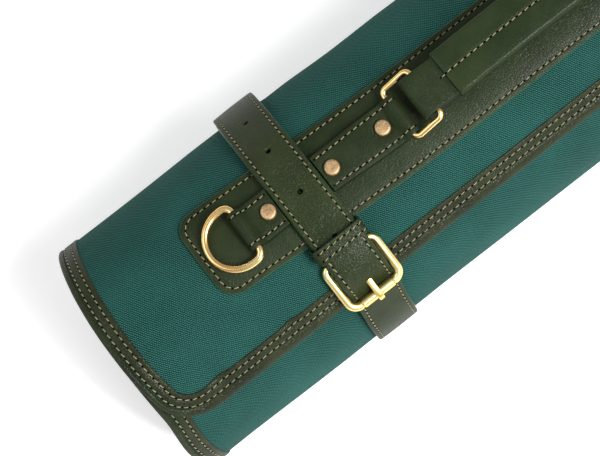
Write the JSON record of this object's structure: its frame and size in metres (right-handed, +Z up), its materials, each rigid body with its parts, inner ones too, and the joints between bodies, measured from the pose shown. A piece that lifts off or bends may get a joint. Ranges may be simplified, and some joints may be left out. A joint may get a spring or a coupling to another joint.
{
  "type": "carving tool roll",
  "caption": "Rolled canvas tool roll with leather binding, two buckled leather belts, a carrying handle on metal rings and D rings for a shoulder strap.",
  "frame": {"origin": "centre of the bounding box's underside, on the surface that the belts rest on", "axes": "+X along the roll, -Y to the front with the flap edge and buckles, +Z up through the handle"},
  "size_m": [0.52, 0.1446, 0.1455],
  "materials": {
    "canvas": "plain-woven cotton canvas, matte",
    "lining": "plain-woven cotton lining, matte",
    "binding_leather": "grained leather, satin",
    "trim_leather": "grained leather, satin",
    "belt_leather": "smooth grained leather, satin",
    "handle_leather": "smooth leather, satin",
    "buckle_brass": "brushed brass, lacquered",
    "ring_brass": "polished antique brass",
    "rivet_brass": "matte antique brass"
  },
  "bodies": {
    "roll": {"outer_canvas": "canvas", "lining": "lining", "pocket_panel": "lining", "tool_flap": "canvas", "binding_left_end": "binding_leather", "binding_right_end": "binding_leather", "binding_flap_edge": "binding_leather", "binding_inner_edge": "binding_leather", "handle_patch": "trim_leather", "d_tab_left": "trim_leather", "d_tab_right": "trim_leather", "handle_tab_left": "trim_leather", "handle_tab_right": "trim_leather", "rivet_caps": "rivet_brass", "rivet_backs": "rivet_brass", "buckle_strap_left": "belt_leather", "buckle_strap_right": "belt_leather", "billet_left": "belt_leather", "billet_right": "belt_leather", "keeper_left": "belt_leather", "keeper_right": "belt_leather", "buckle_frame_left": "buckle_brass", "buckle_frame_right": "buckle_brass"},
    "handle": {"handle_core": "trim_leather", "handle_wrap": "handle_leather"},
    "roller_left": {"roller_left": "buckle_brass"},
    "roller_right": {"roller_right": "buckle_brass"},
    "prong_left": {"prong_left": "buckle_brass"},
    "prong_right": {"prong_right": "buckle_brass"},
    "d_ring_left": {"d_ring_left": "ring_brass"},
    "d_ring_right": {"d_ring_right": "ring_brass"},
    "handle_ring_left": {"handle_ring_left": "ring_brass"},
    "handle_ring_right": {"handle_ring_right": "ring_brass"}
  },
  "joints": [
    {"name": "d_ring_left_flip", "type": "hinge", "parent": "roll", "child": "d_ring_left", "pos_m": [-0.1717, -0.00318, 0.13293], "axis": [0, 0.9997, 0.0244], "range_deg": [0, 165]},
    {"name": "d_ring_right_flip", "type": "hinge", "parent": "roll", "child": "d_ring_right", "pos_m": [0.1717, -0.00318, 0.13293], "axis": [0, -0.9997, -0.0244], "range_deg": [0, 165]},
    {"name": "handle_lift", "type": "slide", "parent": "roll", "child": "handle", "axis": [0, -0.0523, 0.9986], "range_m": [0, 0.006]},
    {"name": "handle_ring_left_swing", "type": "hinge", "parent": "roll", "child": "handle_ring_left", "pos_m": [-0.0784, -0.00523, 0.13245], "axis": [0, -0.9986, -0.0523], "range_deg": [0, 25]},
    {"name": "handle_ring_right_swing", "type": "hinge", "parent": "roll", "child": "handle_ring_right", "pos_m": [0.0784, -0.00523, 0.13245], "axis": [0, 0.9986, 0.0523], "range_deg": [0, 25]},
    {"name": "prong_left_lift", "type": "hinge", "parent": "roll", "child": "prong_left", "pos_m": [-0.1393, -0.04032, 0.11934], "axis": [-1, 0, 0], "range_deg": [0, 6]},
    {"name": "roller_left_spin", "type": "hinge", "parent": "roll", "child": "roller_left", "pos_m": [-0.1393, -0.06231, 0.10432], "axis": [1, 0, 0], "continuous": true},
    {"name": "prong_right_lift", "type": "hinge", "parent": "roll", "child": "prong_right", "pos_m": [0.1393, -0.04032, 0.11934], "axis": [-1, 0, 0], "range_deg": [0, 6]},
    {"name": "roller_right_spin", "type": "hinge", "parent": "roll", "child": "roller_right", "pos_m": [0.1393, -0.06231, 0.10432], "axis": [1, 0, 0], "continuous": true}
  ],
  "couplings": [
    {"joint": "handle_ring_left_swing", "follows": "handle_lift", "rad_per_m": 70.8},
    {"joint": "handle_ring_right_swing", "follows": "handle_lift", "rad_per_m": 70.8}
  ]
}
